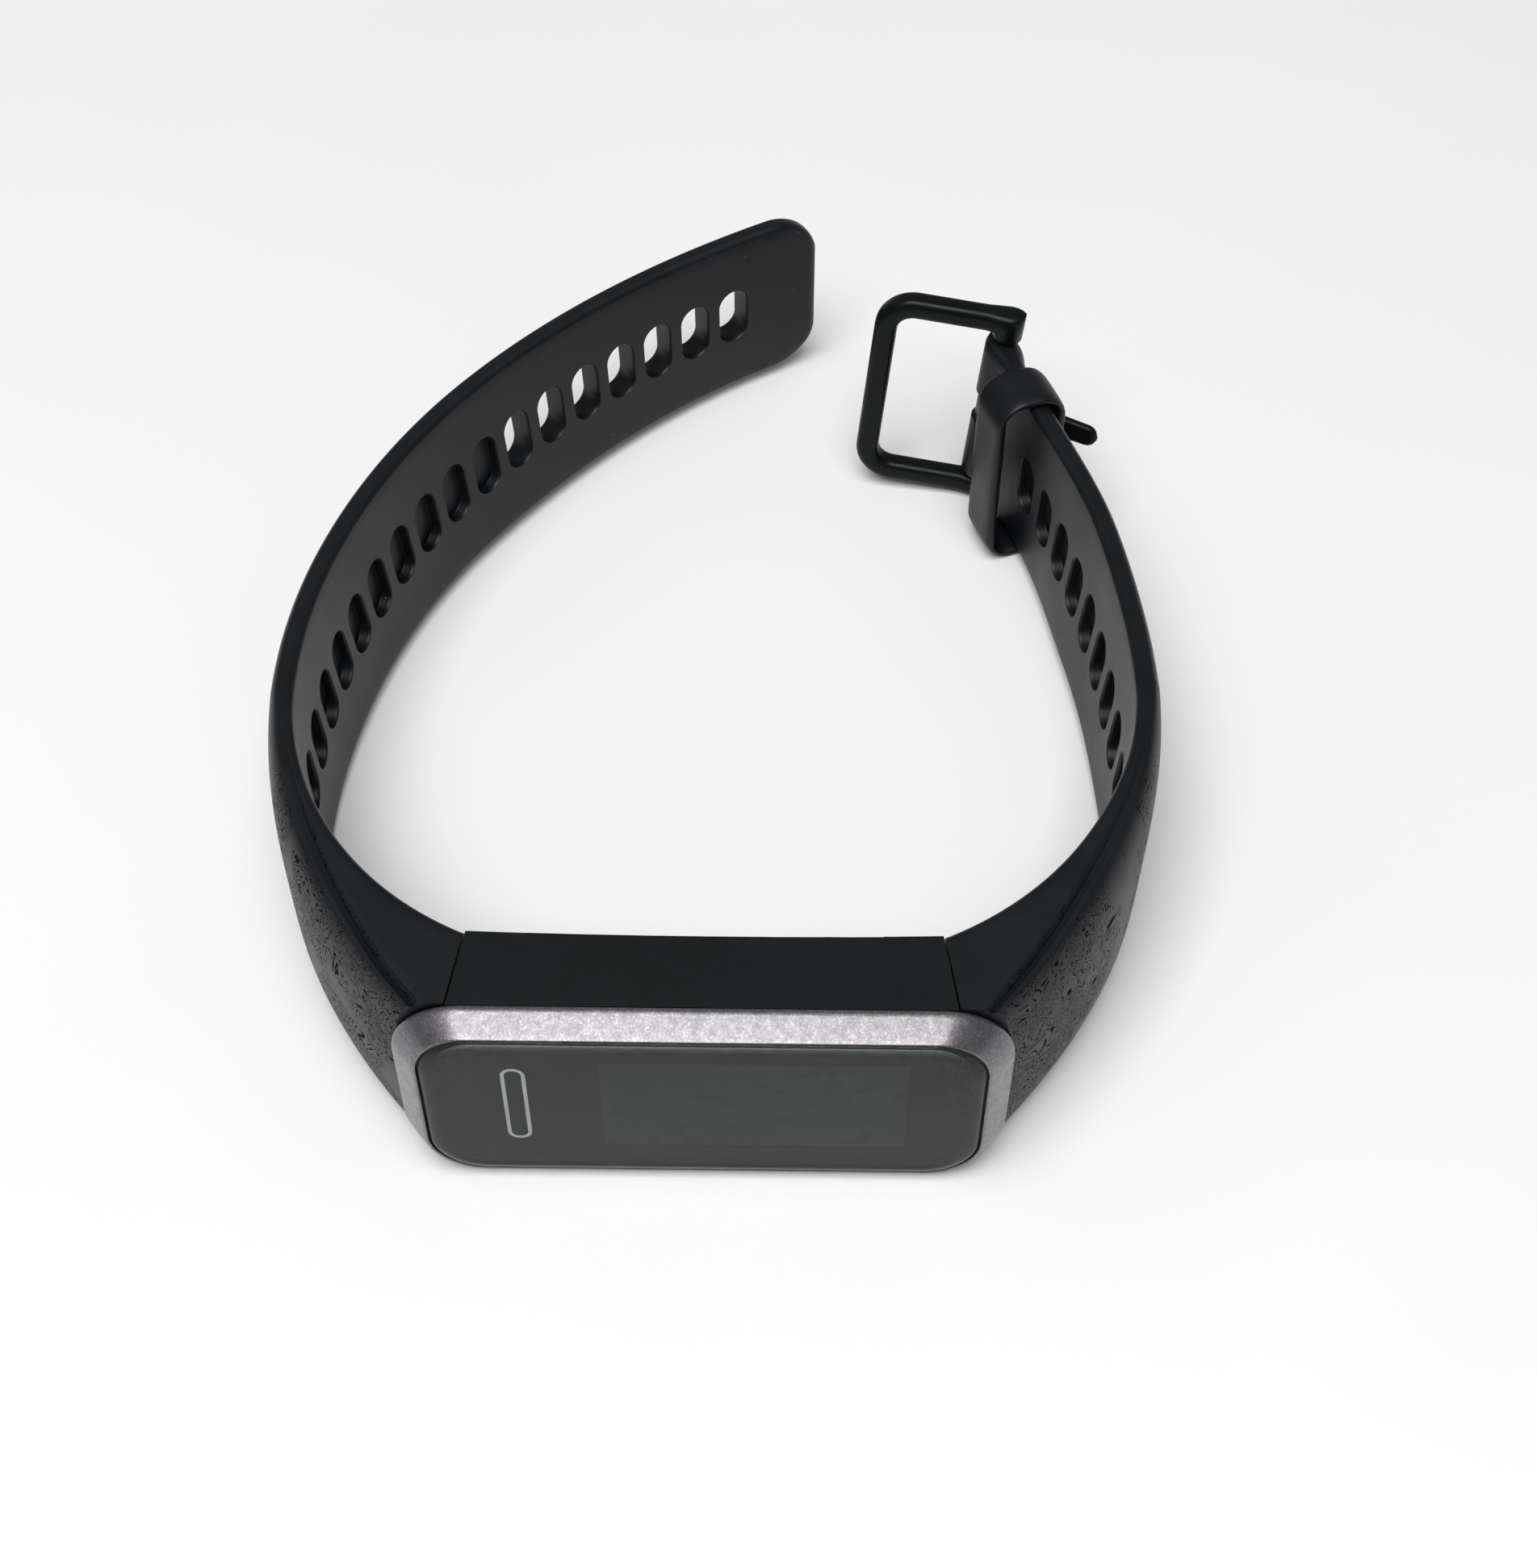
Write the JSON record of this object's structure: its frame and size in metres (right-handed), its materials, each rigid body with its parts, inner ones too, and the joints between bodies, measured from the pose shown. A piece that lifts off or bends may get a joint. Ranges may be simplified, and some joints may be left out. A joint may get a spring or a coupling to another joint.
{
  "type": "fitness tracker band",
  "caption": "Slim wrist fitness tracker with a glass front, gunmetal bezel, pull-off silicone straps, a keeper loop and a tang buckle, lying open on its side.",
  "frame": {"origin": "centre of the housing's lower side face, on the plane the band lies on", "axes": "+X along the body towards the buckle strap, +Y from the glass towards the wrist, +Z across the band, up as it lies on its side"},
  "size_m": [0.0681, 0.092, 0.0212],
  "materials": {
    "housing_plastic": "fine matt moulding",
    "bezel_paint": "gunmetal paint with a coarse sparkle",
    "glass": "polished, curved at the edge",
    "key_print": "silver printed line",
    "copper": "bare copper",
    "foam": "conductive foam",
    "display": "dark glossy display window",
    "white_plastic": "moulded",
    "flex_film": "amber film",
    "chassis_plastic": "moulded",
    "circuit_board": "solder mask",
    "chip": "moulded",
    "tin": "rolled",
    "steel": "turned",
    "ceramic": "fired",
    "pouch": "laminated foil",
    "insulation": "wire insulation",
    "adhesive": "thin tape",
    "window_black": "polished",
    "led": "clear resin",
    "gold": "plated",
    "strap_silicone": "soft matt silicone",
    "core_plastic": "moulded",
    "buckle_plastic": "smooth black"
  },
  "bodies": {
    "tracker": {"main_housing": "housing_plastic", "bezel": "bezel_paint", "cover_glass": "glass", "glass_adhesive": "adhesive", "touch_key_ring": "key_print", "touch_key_pad": "copper", "touch_key_foam": "foam", "display_panel": "display", "display_backlight": "white_plastic", "display_flex": "flex_film", "mid_chassis": "chassis_plastic", "main_board": "circuit_board", "board_screws": "steel", "board_chips": "chip", "shield_can": "tin", "antenna": "ceramic", "battery": "pouch", "battery_leads": "insulation", "vibration_motor": "steel", "bottom_cover": "housing_plastic", "cover_seal": "foam", "sensor_window": "window_black", "sensor_board": "circuit_board", "sensor_leds": "led", "sensor_photodiode": "chip", "light_barrier": "chassis_plastic", "sensor_flex": "flex_film", "charge_contacts": "gold"},
    "long_strap": {"long_strap": "strap_silicone", "long_strap_core": "core_plastic"},
    "short_strap": {"short_strap": "strap_silicone", "short_strap_core": "core_plastic", "spring_bar_tube": "steel", "spring_bar_tip_lower": "steel", "spring_bar_coil": "steel"},
    "spring_bar_tip": {"spring_bar_tip_upper": "steel"},
    "keeper": {"keeper_loop": "strap_silicone"},
    "buckle_frame": {"buckle_frame": "buckle_plastic"},
    "buckle_tang": {"buckle_tang": "buckle_plastic"}
  },
  "joints": [
    {"name": "long_strap_pull", "type": "slide", "parent": "tracker", "child": "long_strap", "axis": [-1, 0, 0], "range_m": [0, 0.006]},
    {"name": "short_strap_pull", "type": "slide", "parent": "tracker", "child": "short_strap", "axis": [1, 0, 0], "range_m": [0, 0.006]},
    {"name": "keeper_slide", "type": "slide", "parent": "short_strap", "child": "keeper", "axis": [0.357, -0.9341, 0], "range_m": [0, 0.006]},
    {"name": "spring_bar_press", "type": "slide", "parent": "short_strap", "child": "spring_bar_tip", "axis": [-0.0871, -0.0401, -0.9954], "range_m": [0, 0.0013], "stiffness_N_per_m": 1500, "springref_m": -0.001, "deforming": ["spring_bar_coil"]},
    {"name": "buckle_frame_swing", "type": "hinge", "parent": "short_strap", "child": "buckle_frame", "pos_m": [0.02375, 0.06698, 0.01035], "axis": [0.0871, 0.0401, 0.9954], "range_deg": [-84, 28]},
    {"name": "buckle_tang_swing", "type": "hinge", "parent": "short_strap", "child": "buckle_tang", "pos_m": [0.02375, 0.06698, 0.01035], "axis": [0.0871, 0.0401, 0.9954], "range_deg": [0, 180]}
  ]
}
